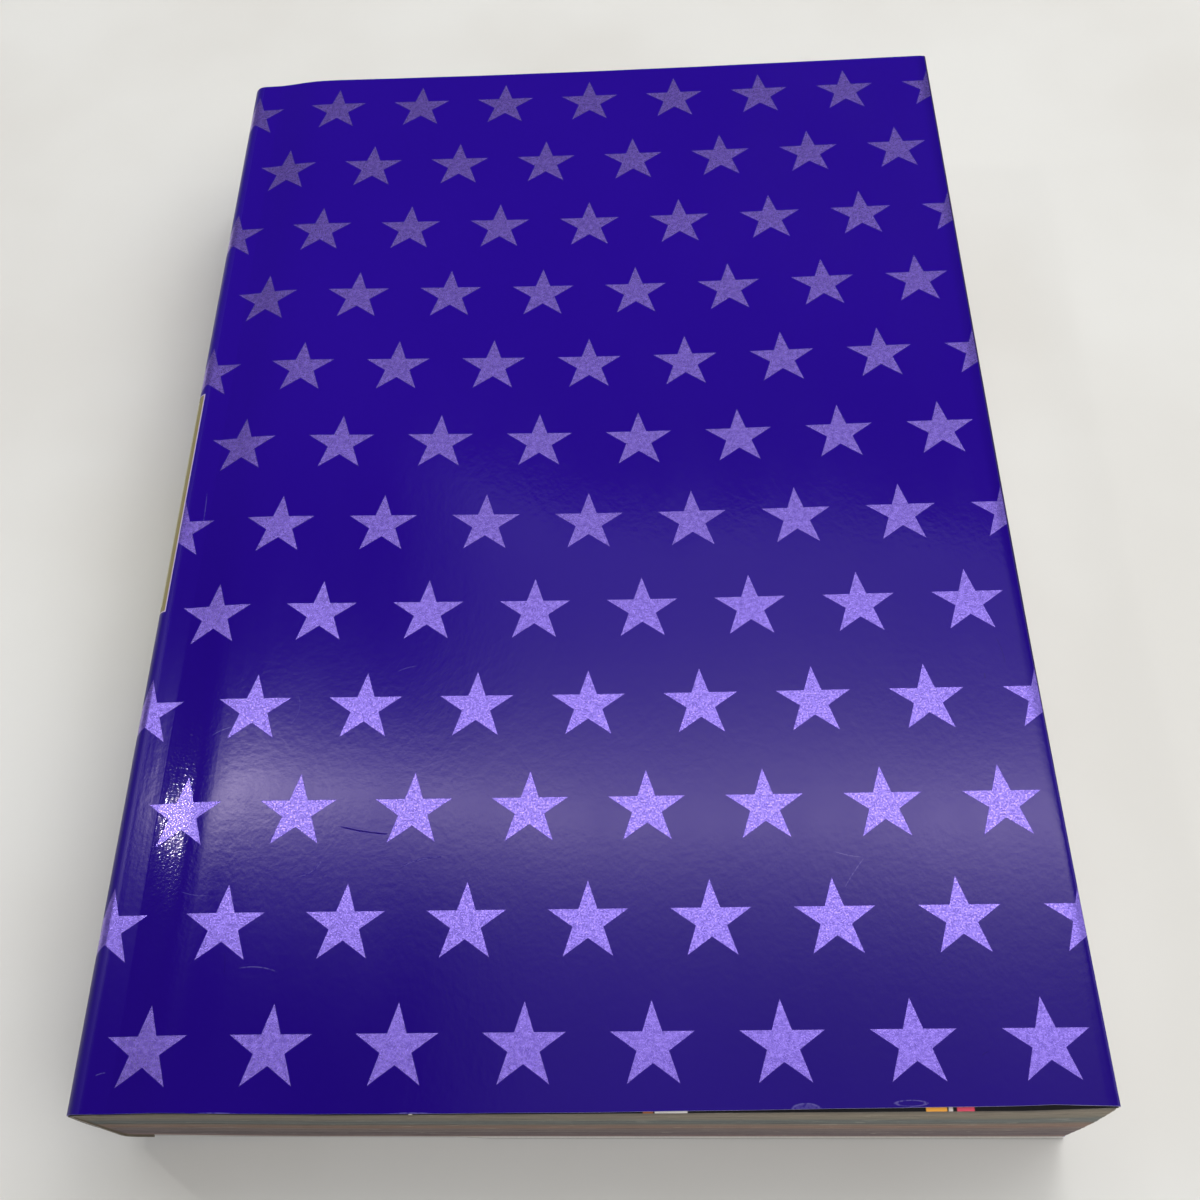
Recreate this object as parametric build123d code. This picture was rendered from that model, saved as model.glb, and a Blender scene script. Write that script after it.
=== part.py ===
"""Thick softcover art book in a laminated paper jacket, lying closed with its back cover up.

The spine runs along Y on the -X side and the leaves open on the +X side.
The origin is at the middle of the underside, and every size is in millimetres.
"""

import math
import os

from build123d import *

# Overall size of the closed book
book_width = 205.0
book_height = 297.0
book_thickness = 40.0

# Sheets
jacket_sheet = 0.2
card_sheet = 0.4

# Clearances between the sheets, and between the jacket's flaps and the leaves
jacket_clearance = 0.1
page_clearance = 0.3

# The jacket is cut shorter than the card and sits nearer the far edge
jacket_shortfall = 0.6
jacket_shift = 0.1
flap_width = 126.0

# Bound edge: each cover bends towards the spine in a long arc, which runs tangent into a small corner
upper_bend_width = 30.0
upper_bend_radius = 190.0
upper_corner_radius = 4.0
lower_bend_width = 50.0
lower_bend_radius = 360.0
lower_corner_radius = 3.5

# Cover hinges
hinge_inset = 9.0
hinge_gap = 0.05
hinge_lift = 0.05
glue_setback = 2.0

# Depth of each face below the book's outer surface
card_outside = jacket_sheet + jacket_clearance
card_inside = card_outside + card_sheet
flap_outside = card_inside + jacket_clearance
flap_inside = flap_outside + jacket_sheet
page_face = flap_inside + page_clearance

# Places across the book
spine_x = -book_width / 2
fore_x = book_width / 2
hinge_x = spine_x + hinge_inset
fold_radius = flap_inside / 2
fold_x = fore_x - fold_radius
flap_x = fore_x - flap_width
glue_x = hinge_x - glue_setback


def bound_edge(bend_width, bend_radius, corner_radius):
    """Turn of a cover's long bend in degrees, and how deep its corner's centre lies below the cover."""
    turn = math.asin((bend_width - corner_radius) / (bend_radius - corner_radius))
    return math.degrees(turn), bend_radius - (bend_radius - corner_radius) * math.cos(turn)


def bend_depth(bend_x, bend_radius, x):
    """How far a cover has bent away from its flat level at x."""
    return bend_radius - math.sqrt(bend_radius**2 - (bend_x - x) ** 2)


upper_turn, upper_depth = bound_edge(upper_bend_width, upper_bend_radius, upper_corner_radius)
upper_bend_x = spine_x + upper_bend_width
upper_bend = (upper_bend_x, book_thickness - upper_bend_radius)
upper_corner = (spine_x + upper_corner_radius, book_thickness - upper_depth)

lower_turn, lower_depth = bound_edge(lower_bend_width, lower_bend_radius, lower_corner_radius)
lower_bend_x = spine_x + lower_bend_width
lower_bend = (lower_bend_x, lower_bend_radius)
lower_corner = (spine_x + lower_corner_radius, lower_depth)


def on_arc(centre, radius, degrees):
    """Point of an arc in the book's cross-section."""
    turn = math.radians(degrees)
    return centre[0] + radius * math.cos(turn), centre[1] + radius * math.sin(turn)


def arc(centre, radius, start, end):
    """Arc in the cross-section between two angles in degrees."""
    middle = on_arc(centre, radius, (start + end) / 2)
    return ThreePointArc(on_arc(centre, radius, start), middle, on_arc(centre, radius, end))


def book_section(depth, fore_edge):
    """The whole cross-section, taken in from the outer surface by depth and cut off at fore_edge."""
    top = book_thickness - depth
    edge = [
        Line((fore_edge, top), (upper_bend_x, top)),
        arc(upper_bend, upper_bend_radius - depth, 90, 90 + upper_turn),
        arc(upper_corner, upper_corner_radius - depth, 90 + upper_turn, 180),
        Line((spine_x + depth, upper_corner[1]), (spine_x + depth, lower_corner[1])),
        arc(lower_corner, lower_corner_radius - depth, 180, 270 - lower_turn),
        arc(lower_bend, lower_bend_radius - depth, 270 - lower_turn, 270),
        Line((lower_bend_x, depth), (fore_edge, depth)),
        Line((fore_edge, depth), (fore_edge, top)),
    ]
    return make_face(edge)


def block(low_x, high_x, low_z, high_z):
    """Rectangle in the cross-section."""
    across = high_x - low_x
    up = high_z - low_z
    return Pos((low_x + high_x) / 2, (low_z + high_z) / 2) * Rectangle(across, up)


def wrap(outside, inside):
    """Cross-section of a sheet that goes round the back, spine and front between two depths."""
    return book_section(outside, fold_x) - book_section(inside, fore_x)


def upper_part(section):
    """What of a cross-section belongs to the back cover, on top."""
    return section & block(hinge_x, fore_x, book_thickness / 2, book_thickness)


def lower_part(section):
    """What of a cross-section belongs to the front cover, underneath."""
    return section & block(hinge_x, fore_x, 0, book_thickness / 2)


def spine_part(section, end_x):
    """What of a cross-section stays with the spine, up to end_x."""
    return section & block(spine_x, end_x, 0, book_thickness)


def flap_and_fold(centre_z, flap_z):
    """The jacket's turn round the card's fore edge, and the flap that lies inside the card."""
    ring = Circle(fold_radius) - Circle(fold_radius - jacket_sheet)
    turn = ring & block(0, fold_radius, -fold_radius, fold_radius)
    return Pos(fold_x, centre_z) * turn + block(flap_x, fold_x, flap_z, flap_z + jacket_sheet)


def along_book(section, length, shift=0.0):
    """Solid of a cross-section that runs along the spine, centred but for the shift."""
    solid = extrude(Plane.XZ * section, length / 2, both=True)
    return Pos(0, shift, 0) * solid


def jacket_part(section):
    """Solid cut from the jacket's sheet."""
    return along_book(section, book_height - jacket_shortfall, jacket_shift)


jacket = wrap(0, jacket_sheet)
card = wrap(card_outside, card_inside)
glue = wrap(card_inside, page_face)

back_flap = flap_and_fold(book_thickness - fold_radius, book_thickness - flap_inside)
front_flap = flap_and_fold(fold_radius, flap_outside)
spine_end = hinge_x - hinge_gap

parts = {
    "page_block": along_book(book_section(page_face, fold_x), book_height),
    "spine_glue": along_book(spine_part(glue, glue_x), book_height),
    "cover_spine": along_book(spine_part(card, spine_end), book_height),
    "cover_back": along_book(upper_part(card), book_height),
    "cover_front": along_book(lower_part(card), book_height),
    "jacket_spine": jacket_part(spine_part(jacket, spine_end)),
    "jacket_back": jacket_part(upper_part(jacket) + back_flap),
    "jacket_front": jacket_part(lower_part(jacket) + front_flap),
}

# Each cover turns about a line just outside the jacket at its crease
back_crease = book_thickness - bend_depth(upper_bend_x, upper_bend_radius, hinge_x)
front_crease = bend_depth(lower_bend_x, lower_bend_radius, hinge_x)
back_hinge = (hinge_x, back_crease + hinge_lift)
front_hinge = (hinge_x, front_crease - hinge_lift)

os.makedirs("parts", exist_ok=True)
for name, solid in parts.items():
    export_step(solid, f"parts/{name}.step")
print("back hinge, x and z:", back_hinge)
print("front hinge, x and z:", front_hinge)
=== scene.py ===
"""Softcover art book in a laminated paper jacket, lying closed with its back cover up.

The sheets are built from the book's cross-section, which runs from the middle of the spine
round a corner to the hinge crease, along the cover to the fore edge and back along the flap.
Sizes are in metres, and mm turns a size in millimetres into one.
"""

import math
import random

import bpy
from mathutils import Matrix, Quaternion, Vector, noise


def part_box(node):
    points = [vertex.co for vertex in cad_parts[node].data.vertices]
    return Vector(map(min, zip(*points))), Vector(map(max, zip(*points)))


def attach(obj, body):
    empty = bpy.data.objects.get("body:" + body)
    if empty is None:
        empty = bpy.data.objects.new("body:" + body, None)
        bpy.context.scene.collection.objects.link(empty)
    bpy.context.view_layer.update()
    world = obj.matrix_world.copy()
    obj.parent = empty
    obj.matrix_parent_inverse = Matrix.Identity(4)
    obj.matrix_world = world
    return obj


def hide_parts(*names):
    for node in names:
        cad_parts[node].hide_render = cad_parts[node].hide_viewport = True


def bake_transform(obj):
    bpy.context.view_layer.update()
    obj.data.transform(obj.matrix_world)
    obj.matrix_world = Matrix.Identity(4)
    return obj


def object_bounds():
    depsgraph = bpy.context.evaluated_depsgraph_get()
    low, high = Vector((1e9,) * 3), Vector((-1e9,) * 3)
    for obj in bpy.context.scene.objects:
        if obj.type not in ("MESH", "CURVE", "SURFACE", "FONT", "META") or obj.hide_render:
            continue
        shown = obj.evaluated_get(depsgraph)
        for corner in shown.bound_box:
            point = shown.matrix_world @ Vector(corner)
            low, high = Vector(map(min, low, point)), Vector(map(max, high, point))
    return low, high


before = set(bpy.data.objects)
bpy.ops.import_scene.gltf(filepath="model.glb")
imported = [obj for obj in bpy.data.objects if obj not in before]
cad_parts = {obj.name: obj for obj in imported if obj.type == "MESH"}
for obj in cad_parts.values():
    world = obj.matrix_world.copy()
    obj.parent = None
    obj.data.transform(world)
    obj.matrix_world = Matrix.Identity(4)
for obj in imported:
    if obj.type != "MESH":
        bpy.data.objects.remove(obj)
cad_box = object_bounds()

mm = 0.001

# Overall size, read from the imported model
spine_x = cad_box[0].x
fore_x = cad_box[1].x
near_y = cad_box[0].y
far_y = cad_box[1].y
book_top = cad_box[1].z

# Sheets and the clearances between them
jacket_sheet = 0.2 * mm
card_sheet = 0.4 * mm
sheet_clearance = 0.1 * mm
card_outside = jacket_sheet + sheet_clearance
card_inside = card_outside + card_sheet
flap_inside = card_inside + sheet_clearance + jacket_sheet
page_face = book_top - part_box("page_block")[1].z
fold_radius = flap_inside / 2
fold_x = fore_x - fold_radius
flap_width = 126.0 * mm
flap_x = fore_x - flap_width
hinge_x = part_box("cover_back")[0].x


class BoundEdge:
    """One cover's way to the spine: a long bend that runs tangent into a small corner."""

    def __init__(self, level, upwards, bend_width, bend_radius, corner_radius):
        self.level = level
        self.upwards = upwards
        self.bend_x = spine_x + bend_width
        self.bend_radius = bend_radius
        self.corner_radius = corner_radius
        self.turn = math.asin((bend_width - corner_radius) / (bend_radius - corner_radius))
        self.corner_depth = bend_radius - (bend_radius - corner_radius) * math.cos(self.turn)

    def height(self, depth):
        """Height in the book of a place that lies depth below this cover's outer surface."""
        return self.level - self.upwards * depth


back_edge = BoundEdge(book_top, 1, 30.0 * mm, 190.0 * mm, 4.0 * mm)
front_edge = BoundEdge(0.0, -1, 50.0 * mm, 360.0 * mm, 3.5 * mm)
upper_corner_z = back_edge.height(back_edge.corner_depth)
lower_corner_z = front_edge.height(front_edge.corner_depth)
spine_half = (upper_corner_z - lower_corner_z) / 2


class Line:
    """Straight stretch of the cross-section."""

    def __init__(self, start, end):
        self.start = Vector(start)
        self.end = Vector(end)
        self.length = (self.end - self.start).length
        along = (self.end - self.start).normalized()
        self.normal = Vector((-along.y, along.x))

    def at(self, distance):
        """Point and normal at a distance from the start."""
        return self.start.lerp(self.end, distance / self.length), self.normal


class Arc:
    """Round stretch of the cross-section, walked clockwise, so that its normal points outwards."""

    def __init__(self, centre, radius, start, end):
        self.centre = Vector(centre)
        self.radius = radius
        self.start = math.radians(start)
        self.end = math.radians(end)
        self.length = radius * abs(self.end - self.start)

    def at(self, distance):
        """Point and normal at a distance from the start."""
        turn = self.start + (self.end - self.start) * distance / self.length
        normal = Vector((math.cos(turn), math.sin(turn)))
        return self.centre + normal * self.radius, normal


def walk(stretches, distance):
    """Point and outward normal of an outline at a distance from its start."""
    for stretch in stretches[:-1]:
        if distance <= stretch.length:
            return stretch.at(distance)
        distance -= stretch.length
    return stretches[-1].at(min(distance, stretches[-1].length))


def cover_outline(edge, depth, end_x):
    """From the middle of the spine to end_x on a cover, at a depth below its outer surface.

    Heights are counted outwards from the cover's flat outer surface.
    """
    meeting = 90 + math.degrees(edge.turn)
    corner = -edge.corner_depth
    return [
        Line((spine_x + depth, corner - spine_half), (spine_x + depth, corner)),
        Arc((spine_x + edge.corner_radius, corner), edge.corner_radius - depth, 180, meeting),
        Arc((edge.bend_x, -edge.bend_radius), edge.bend_radius - depth, meeting, 90),
        Line((edge.bend_x, -depth), (end_x, -depth)),
    ]


def with_flap(outline):
    """Adds the turn round the card's fore edge and the flap to a jacket's outline."""
    return outline + [
        Arc((fold_x, -fold_radius), fold_radius, 90, -90),
        Line((fold_x, -flap_inside), (flap_x, -flap_inside)),
    ]


search_precision = 0.001 * mm


def distance_to_x(outline, x):
    """Distance along an outline to where its cover passes x."""
    low = 0.0
    high = sum(stretch.length for stretch in outline[:4])
    while high - low > search_precision:
        middle = (low + high) / 2
        if walk(outline, middle)[0].x < x:
            low = middle
        else:
            high = middle
    return low


def spaced(start, end, step):
    """Evenly spaced stations from start up to, but without, end."""
    count = max(1, round((end - start) / step))
    return [start + (end - start) * i / count for i in range(count)]


panel_step = 3.0 * mm
bend_step = math.radians(9)
hinge_step = 0.2 * mm
hinge_reach = 1.6 * mm
crease_reach = (7.6 * mm, 12.8 * mm)
crease_step = 0.4 * mm
roll_step = 0.5 * mm


def stations(outline):
    """Distances at which a sheet gets vertices: close together in its bends and at the hinge."""
    marks = []
    done = 0.0
    for stretch in outline:
        step = panel_step
        if isinstance(stretch, Arc):
            step = min(step, stretch.radius * bend_step)
        marks += spaced(done, done + stretch.length, step)
        done += stretch.length
    marks.append(done)
    hinge = distance_to_x(outline, hinge_x)
    crease_in = hinge - crease_reach[0]
    crease_out = hinge + crease_reach[1]
    marks = [mark for mark in marks if not crease_in < mark < crease_out]
    marks += spaced(crease_in, hinge - hinge_reach, crease_step)
    marks += spaced(hinge - hinge_reach, hinge + hinge_reach, hinge_step)
    marks += spaced(hinge + hinge_reach, crease_out, crease_step)
    roll = distance_to_x(outline, fore_x - roll_width)
    marks += spaced(roll, distance_to_x(outline, fold_x), roll_step)
    return sorted(set(marks))


# Settling of the used book: the lower leaves lie turned under the upper ones
lower_turn = math.tan(math.radians(0.38))
lower_turn_x = -35.0 * mm
lower_turn_curve = 0.6

# The back cover sags where it lies free of the hinge, and rises at its far fore corner
free_start = hinge_x + 10 * mm
free_end = hinge_x + 35 * mm
cover_sag = 2.0 * mm
sag_centre = (10.0 * mm, 22.0 * mm)
sag_reach = (61.0 * mm, 85.0 * mm)
far_corner_lift = 2.5 * mm
far_corner_start = -60.0 * mm
far_corner_curve = 1.5

# The near fore corner spreads, and the print on it with it
fore_flare = 0.9 * mm
flare_start = (-40.0 * mm, -20.0 * mm)
print_stretch = 1.5 * mm

# The spine swells, and the covers are pressed in along the crease and rolled off at the fore edge
spine_swell = 0.8 * mm
crease_depth = 0.5 * mm
bound_rise = 0.19 * mm
crease_start = -101.5 * mm
crease_x = -93.3 * mm
crease_end = -81.0 * mm
crease_softness = (0.15, 0.6)
roll_depth = 0.22 * mm
roll_width = 3.0 * mm

# The upper near edge bows out
near_bow = 0.48 * mm
near_bow_depth = 6.5 * mm
near_bow_start = -85 * mm
near_bow_full = (-50 * mm, 85 * mm)


def ramp_up(value, start, end):
    """0 at start and beyond it, and 1 at end, in a straight line."""
    return min(1.0, max(0.0, (value - start) / (end - start)))


def flare(x, y):
    """How near a place is to the near fore corner."""
    return (ramp_up(x, flare_start[0], fore_x) * ramp_up(y, flare_start[1], near_y)) ** 2


def softened(part, softness):
    """A straight rise from 0 to 1 that starts and ends more gently."""
    return part - softness * math.sin(math.tau * part) / math.tau


def cover_dip(x):
    """How deep the covers lie at x: pressed in along the crease and rolled off at the fore edge."""
    before = softened(ramp_up(x, crease_start, crease_x), crease_softness[0])
    after = softened(ramp_up(x, crease_end, crease_x), crease_softness[1])
    crease = crease_depth * after - (crease_depth + bound_rise) * (1 - before)
    return crease + roll_depth * ramp_up(x, fore_x - roll_width, fore_x) ** 2


def bow(x, y):
    """How far the upper near edge bows out towards the reader."""
    ends = ramp_up(x, near_bow_start, near_bow_full[0]) * ramp_up(x, fore_x, near_bow_full[1])
    return near_bow * ends * ramp_up(y, near_y + near_bow_depth, near_y)


def settle(x, y, z):
    """Place of a point in the used book, from its place in the true shape."""
    up = ramp_up(z, 0.0, book_top)
    free = ramp_up(x, free_start, free_end)
    off_x = (x - sag_centre[0]) / sag_reach[0]
    off_y = (y - sag_centre[1]) / sag_reach[1]
    sag = math.exp(-(off_x**2) - off_y**2)
    corner = ramp_up(x, far_corner_start, fore_x) * ramp_up(y, far_corner_start, far_y)
    raised = far_corner_lift * corner**far_corner_curve - cover_sag * sag
    up_spine = ramp_up(z, lower_corner_z, upper_corner_z)
    swell = math.sin(math.pi * up_spine) * ramp_up(x, hinge_x, spine_x)
    turned = lower_turn * (x - lower_turn_x) * (1 - up) ** lower_turn_curve
    return (
        x + fore_flare * flare(x, y) - spine_swell * swell,
        y - turned - up * bow(x, y),
        z + up * free * raised + cover_dip(x) * ((1 - up) ** 3 - up**3),
    )


# Camera, placed as the photograph was taken
camera_place = Vector((12.7, -183.4, 305.2)) * mm
camera_aim = Vector((4.0, -35.8, 40.0)) * mm
camera_roll = math.radians(-4.0)
camera_lens = 38.7
camera_clip = 10 * mm


def add_camera():
    """Camera at the photograph's viewing angle."""
    data = bpy.data.cameras.new("camera")
    data.lens = camera_lens
    data.clip_start = camera_clip
    camera = bpy.data.objects.new("camera", data)
    camera.location = camera_place
    turn = (camera_aim - camera_place).to_track_quat("-Z", "Y")
    camera.rotation_mode = "QUATERNION"
    camera.rotation_quaternion = turn @ Quaternion((0, 0, 1), camera_roll)
    bpy.context.scene.collection.objects.link(camera)
    bpy.context.scene.camera = camera


class Nodes:
    """A node tree with short calls for the nodes that the materials use."""

    def __init__(self, tree):
        self.tree = tree

    def add(self, kind, inputs=None, **settings):
        """New node, with its settings and its inputs by name or number."""
        node = self.tree.nodes.new(kind)
        for name, value in settings.items():
            setattr(node, name, value)
        for name, value in (inputs or {}).items():
            self.put(node.inputs[name], value)
        return node

    def put(self, socket, value):
        """Links or sets one input."""
        if isinstance(value, bpy.types.NodeSocket):
            self.tree.links.new(value, socket)
        else:
            socket.default_value = value

    def math(self, operation, *values):
        """Result of a sum on plain values."""
        return self.add("ShaderNodeMath", dict(enumerate(values)), operation=operation).outputs[0]

    def vector(self, operation, *values):
        """Vector result of an operation, or its value where it gives only one."""
        names = (0, "Scale") if operation == "SCALE" else (0, 1)
        node = self.add("ShaderNodeVectorMath", dict(zip(names, values)), operation=operation)
        single = operation in ("LENGTH", "DISTANCE")
        return node.outputs["Value" if single else "Vector"]

    def mix(self, factor, first, second):
        """Blend of two colours."""
        return self.add("ShaderNodeMix", {0: factor, 6: first, 7: second}, data_type="RGBA").outputs[2]

    def fade(self, value, start, end, low=0.0, high=1.0):
        """Smooth step of a value from low at start to high at end."""
        sockets = {0: value, 1: start, 2: end, 3: low, 4: high}
        return self.add("ShaderNodeMapRange", sockets, interpolation_type="SMOOTHSTEP").outputs[0]

    def steps(self, value, places, heights):
        """Curve that leads smoothly from each height to the next at the given places."""
        total = heights[0]
        for i in range(1, len(places)):
            rise = heights[i] - heights[i - 1]
            total = self.math("ADD", total, self.fade(value, places[i - 1], places[i], 0.0, rise))
        return total

    def noise(self, place, scale, detail=2.0, roughness=0.5):
        """Noise value, with scale in cycles per metre."""
        sockets = {"Vector": place, "Scale": scale, "Detail": detail, "Roughness": roughness}
        return self.add("ShaderNodeTexNoise", sockets).outputs[0]

    def stretched(self, place, x, y):
        """A place multiplied by a factor across and one along."""
        return self.vector("MULTIPLY", place, (x, y, 1.0))

    def split(self, place):
        """The x, y and z of a place."""
        return self.add("ShaderNodeSeparateXYZ", {0: place}).outputs

    def join(self, x, y, z=0.0):
        """The vector or colour with these parts."""
        return self.add("ShaderNodeCombineXYZ", {0: x, 1: y, 2: z}).outputs[0]

    def ramp(self, value, stops):
        """Colour from a list of (position, colour)."""
        node = self.add("ShaderNodeValToRGB", {0: value})
        elements = node.color_ramp.elements
        while len(elements) < len(stops):
            elements.new(0.5)
        for element, (position, colour) in zip(elements, stops):
            element.position = position
            element.color = colour
        return node.outputs[0]

    def bump(self, height, distance):
        """Normal from a height between 0 and 1 that stands for distance in metres."""
        sockets = {"Height": height, "Distance": distance, "Strength": 1.0}
        return self.add("ShaderNodeBump", sockets).outputs[0]


def new_group(name, inputs, outputs):
    """Empty shader node group with named inputs and outputs."""
    tree = bpy.data.node_groups.new(name, "ShaderNodeTree")
    for label, kind in inputs.items():
        tree.interface.new_socket(label, in_out="INPUT", socket_type=kind)
    for label, kind in outputs.items():
        tree.interface.new_socket(label, in_out="OUTPUT", socket_type=kind)
    start = tree.nodes.new("NodeGroupInput")
    end = tree.nodes.new("NodeGroupOutput")
    return Nodes(tree), start.outputs, end.inputs


def use_group(n, group, **values):
    """Outputs of a group placed in a tree."""
    node = n.add("ShaderNodeGroup", node_tree=group)
    for name, value in values.items():
        n.put(node.inputs[name], value)
    return node.outputs


def new_material(name):
    """Material with only a Principled shader."""
    material = bpy.data.materials.new(name)
    material.use_nodes = True
    return material, Nodes(material.node_tree), material.node_tree.nodes["Principled BSDF"]


def srgb(red, green, blue):
    """Linear colour from the 0 to 255 values that a screen shows."""
    def linear(value):
        """One channel, without the curve that screens apply."""
        value /= 255
        return value / 12.92 if value <= 0.04045 else ((value + 0.055) / 1.055) ** 2.4
    return linear(red), linear(green), linear(blue), 1.0


# Printed pattern: rows of stars, every second row moved by half a pitch
star_pitch = 25.31 * mm
star_row_pitch = 24.67 * mm
star_radius = 8.7 * mm
star_slant = math.radians(18)
star_soft = 0.05 * mm
star_origin = (1.23 * mm, -13.14 * mm)


def make_star_field():
    """Mask of the printed stars from a place on the flat sheet."""
    inputs = {"Place": "NodeSocketVector"}
    n, given, out = new_group("star_field", inputs, {"Star": "NodeSocketFloat"})
    place = n.vector("SUBTRACT", given["Place"], (*star_origin, 0))
    cell_size = (star_pitch, 2 * star_row_pitch, 1)
    fifth = math.tau / 5
    edges = []
    for shift in (0.5, 1.0):
        cell = n.vector("ADD", n.vector("DIVIDE", place, cell_size), (shift, shift, 0))
        cell = n.vector("SUBTRACT", n.vector("FRACTION", cell), (0.5, 0.5, 0))
        local = n.split(n.vector("MULTIPLY", cell, cell_size))
        reach = n.vector("LENGTH", n.join(local[0], local[1]))

        # Turn away from the nearest point of the star, in fifths of a whole turn
        turn = n.math("ARCTAN2", local[0], local[1])
        wedge = n.math("FRACT", n.math("MULTIPLY_ADD", turn, 1 / fifth, 0.5))
        wedge = n.math("ABSOLUTE", n.math("SUBTRACT", wedge, 0.5))
        lean = n.math("MULTIPLY_ADD", wedge, fifth, star_slant)
        edges.append(n.math("MULTIPLY", reach, n.math("SINE", lean)))
    nearest = n.math("MINIMUM", *edges)
    limit = star_radius * math.sin(star_slant)
    n.put(out["Star"], n.fade(nearest, limit - star_soft, limit + star_soft, 1.0, 0.0))
    return n.tree


# A fade is written as where it starts and ends, and its values there if they aren't 0 and 1
scratch_taper = (0.6, 1.0, 1.0, 0.0)


def make_scratch():
    """Mask of one thin scratch along an arc, within reach of its middle."""
    inputs = {
        "Place": "NodeSocketVector", "Centre": "NodeSocketVector", "Radius": "NodeSocketFloat",
        "Middle": "NodeSocketVector", "Reach": "NodeSocketFloat", "Width": "NodeSocketFloat",
    }
    n, given, out = new_group("scratch", inputs, {"Mark": "NodeSocketFloat"})
    off = n.math("SUBTRACT", n.vector("DISTANCE", given["Place"], given["Centre"]), given["Radius"])
    line = n.fade(n.math("ABSOLUTE", off), 0.0, given["Width"], 1.0, 0.0)
    away = n.vector("DISTANCE", given["Place"], given["Middle"])
    near = n.fade(n.math("DIVIDE", away, given["Reach"]), *scratch_taper)
    n.put(out["Mark"], n.math("MULTIPLY", line, near))
    return n.tree


nick_inside = (0.75, 0.9, 1.0, 0.0)
nick_rim_from = (0.7, 0.88)
nick_rim_to = (0.95, 1.1, 1.0, 0.0)


def make_nick():
    """Masks of a small lens-shaped dent at a cut edge: its inside and its rim."""
    inputs = {"Place": "NodeSocketVector", "Centre": "NodeSocketVector", "Reach": "NodeSocketVector"}
    n, given, out = new_group("nick", inputs, {"Inside": "NodeSocketFloat", "Rim": "NodeSocketFloat"})
    local = n.vector("DIVIDE", n.vector("SUBTRACT", given["Place"], given["Centre"]), given["Reach"])
    away = n.vector("LENGTH", local)
    n.put(out["Inside"], n.fade(away, *nick_inside))
    rim = n.math("MULTIPLY", n.fade(away, *nick_rim_from), n.fade(away, *nick_rim_to))
    n.put(out["Rim"], rim)
    return n.tree


# Paper's tint: shares of its fine fibres and of clouds of them, and how much larger a cloud is
fibre_share = 0.6
cloud_share = 0.4
cloud_size = 25
tint_fade = (0.3, 0.7)


def make_paper_grain():
    """Fine fibres of uncoated paper: a tint that varies a little and a height."""
    inputs = {"Place": "NodeSocketVector", "Fibre": "NodeSocketFloat"}
    outputs = {"Tint": "NodeSocketFloat", "Height": "NodeSocketFloat"}
    n, given, out = new_group("paper_grain", inputs, outputs)
    fine = n.noise(given["Place"], given["Fibre"], 4.0, 0.6)
    cloud = n.noise(given["Place"], n.math("DIVIDE", given["Fibre"], cloud_size))
    tint = n.math("MULTIPLY_ADD", fine, fibre_share, n.math("MULTIPLY", cloud, cloud_share))
    n.put(out["Tint"], n.fade(tint, *tint_fade))
    n.put(out["Height"], fine)
    return n.tree


star_field = make_star_field()
scratch = make_scratch()
nick = make_nick()
paper_grain = make_paper_grain()

# Marks on the back cover, in millimetres: start, end, how far they bend, and strength
# Scratches, lightened partly as real scuffs and partly as painted highlight
scuffs_and_glints = [
    ((-60.2, -101.6), (-56.6, -99.8), -0.3, 0.7),
    ((-56.8, -100.0), (-55.8, -98.2), -0.2, 0.9),
    ((-38.6, -99.9), (-29.4, -97.6), 0.7, 0.7),
    ((-83.6, -68.7), (-79.1, -66.7), 0.2, 0.7),
    ((-85.2, -104.3), (-78.2, -105.4), -0.4, 0.35),
    ((-70.6, -120.7), (-62.0, -121.6), 0.7, 0.5),
    ((-65.3, -58.6), (-67.3, -67.4), 1.9, 0.2),
    ((-42.9, -53.6), (-38.0, -52.0), 0.3, 0.35),
    ((52.5, -97.3), (59.2, -98.8), -0.3, 0.4),
    ((59.2, -98.8), (54.2, -105.6), -0.2, 0.5),
    ((-94.9, -1.6), (-94.5, -13.0), 0.1, 0.4),
    ((-97.0, -141.2), (-94.8, -140.6), 0.1, 0.4),
]
# Creases, darkened by painted shade
creases_with_painted_shade = [
    ((-52.6, -90.5), (-41.4, -92.4), -0.3, 0.7),
    ((-73.8, -117.2), (-73.2, -122.2), 0.2, 0.5),
    ((90.6, -56.3), (90.5, -57.9), 0.1, 0.9),
    ((94.4, -46.8), (95.6, -54.6), 0.4, 0.5),
    ((76.8, -139.1), (78.5, -138.2), 0.2, 0.6),
]
scratch_width = 0.16 * mm


def scratches(n, place, marks):
    """Mask of a list of scratches."""
    total = 0.0
    for start, end, bend, strength in marks:
        start = Vector((*start, 0)) * mm
        end = Vector((*end, 0)) * mm
        chord = end - start
        side = Vector((-chord.y, chord.x, 0)).normalized() * math.copysign(1.0, bend)
        depth = abs(bend) * mm
        radius = chord.length**2 / (8 * depth) + depth / 2
        middle = (start + end) / 2
        mark = use_group(
            n, scratch, Place=place, Centre=middle + side * (depth - radius), Radius=radius,
            Middle=middle, Reach=chord.length / 2, Width=scratch_width,
        )["Mark"]
        total = n.math("MAXIMUM", total, n.math("MULTIPLY", mark, strength))
    return total


# Title panel on the spine, finished plain: how far its bands lie in from its edge
label_far_y = 29.7 * mm
label_near_y = -35.7 * mm
label_half_width = 18.5 * mm
label_olive = srgb(146, 136, 88)
label_bands = [
    (0.0, srgb(196, 182, 214)), (0.35 * mm, label_olive),
    (2.0 * mm, srgb(226, 220, 170)), (2.5 * mm, label_olive),
]
label_soft = 0.03 * mm


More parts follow.
